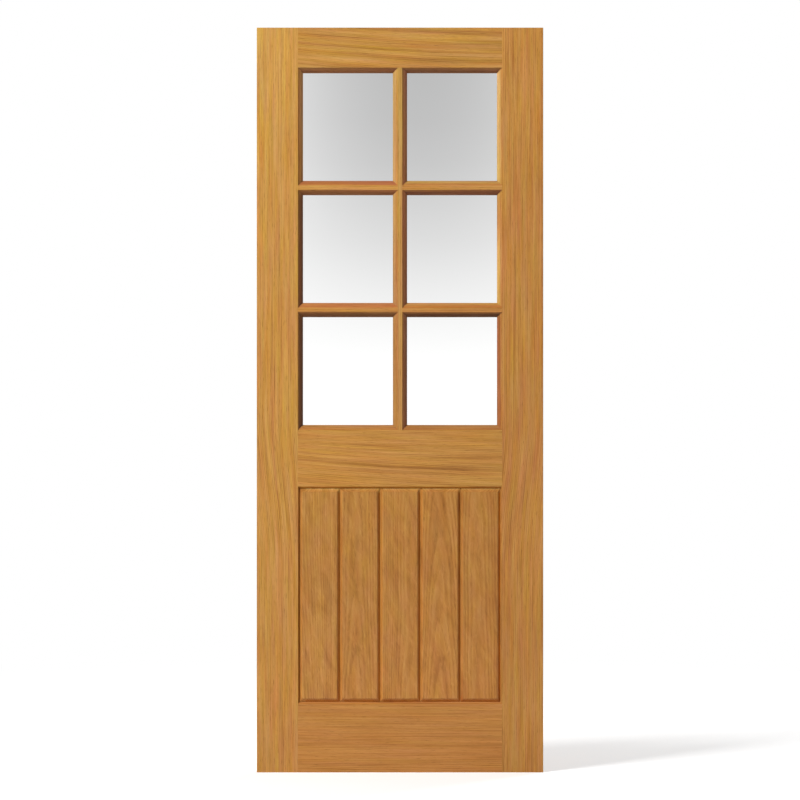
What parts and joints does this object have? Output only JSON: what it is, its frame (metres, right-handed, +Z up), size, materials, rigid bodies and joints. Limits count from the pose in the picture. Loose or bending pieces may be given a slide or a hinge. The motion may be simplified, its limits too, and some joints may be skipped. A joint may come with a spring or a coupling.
{
  "type": "glazed interior door leaf",
  "caption": "Interior door leaf in oak: clear panes between slim glazing bars over a panel of upright V-jointed boards, both faces alike.",
  "frame": {"origin": "on the hanging edge of the leaf, halfway through its thickness, at its bottom", "axes": "+Z up along the leaf's height, +Y through its thickness from the front face to the back face, +X across the leaf from the hanging edge to the lock edge"},
  "size_m": [0.762, 0.035, 1.981],
  "materials": {
    "stile_oak": "satin oiled oak",
    "rail_oak": "satin oiled oak",
    "bar_oak": "satin oiled oak",
    "board_oak": "satin oiled oak",
    "bead_oak": "satin oiled oak",
    "glass": "clear, polished"
  },
  "bodies": {
    "root": {"bead_lower_left_bottom": "bead_oak", "bead_lower_left_left": "bead_oak", "bead_lower_left_right": "bead_oak", "bead_lower_left_top": "bead_oak", "bead_lower_right_bottom": "bead_oak", "bead_lower_right_left": "bead_oak", "bead_lower_right_right": "bead_oak", "bead_lower_right_top": "bead_oak", "bead_middle_left_bottom": "bead_oak", "bead_middle_left_left": "bead_oak", "bead_middle_left_right": "bead_oak", "bead_middle_left_top": "bead_oak", "bead_middle_right_bottom": "bead_oak", "bead_middle_right_left": "bead_oak", "bead_middle_right_right": "bead_oak", "bead_middle_right_top": "bead_oak", "bead_upper_left_bottom": "bead_oak", "bead_upper_left_left": "bead_oak", "bead_upper_left_right": "bead_oak", "bead_upper_left_top": "bead_oak", "bead_upper_right_bottom": "bead_oak", "bead_upper_right_left": "bead_oak", "bead_upper_right_right": "bead_oak", "bead_upper_right_top": "bead_oak", "board_1": "board_oak", "board_2": "board_oak", "board_3": "board_oak", "board_4": "board_oak", "board_5": "board_oak", "bottom_rail": "rail_oak", "cross_bar_lower_left": "bar_oak", "cross_bar_lower_right": "bar_oak", "cross_bar_upper_left": "bar_oak", "cross_bar_upper_right": "bar_oak", "hanging_stile": "stile_oak", "lock_stile": "stile_oak", "middle_rail": "rail_oak", "pane_lower_left": "glass", "pane_lower_right": "glass", "pane_middle_left": "glass", "pane_middle_right": "glass", "pane_upper_left": "glass", "pane_upper_right": "glass", "top_rail": "rail_oak", "upright_bar": "bar_oak"}
  },
  "joints": []
}
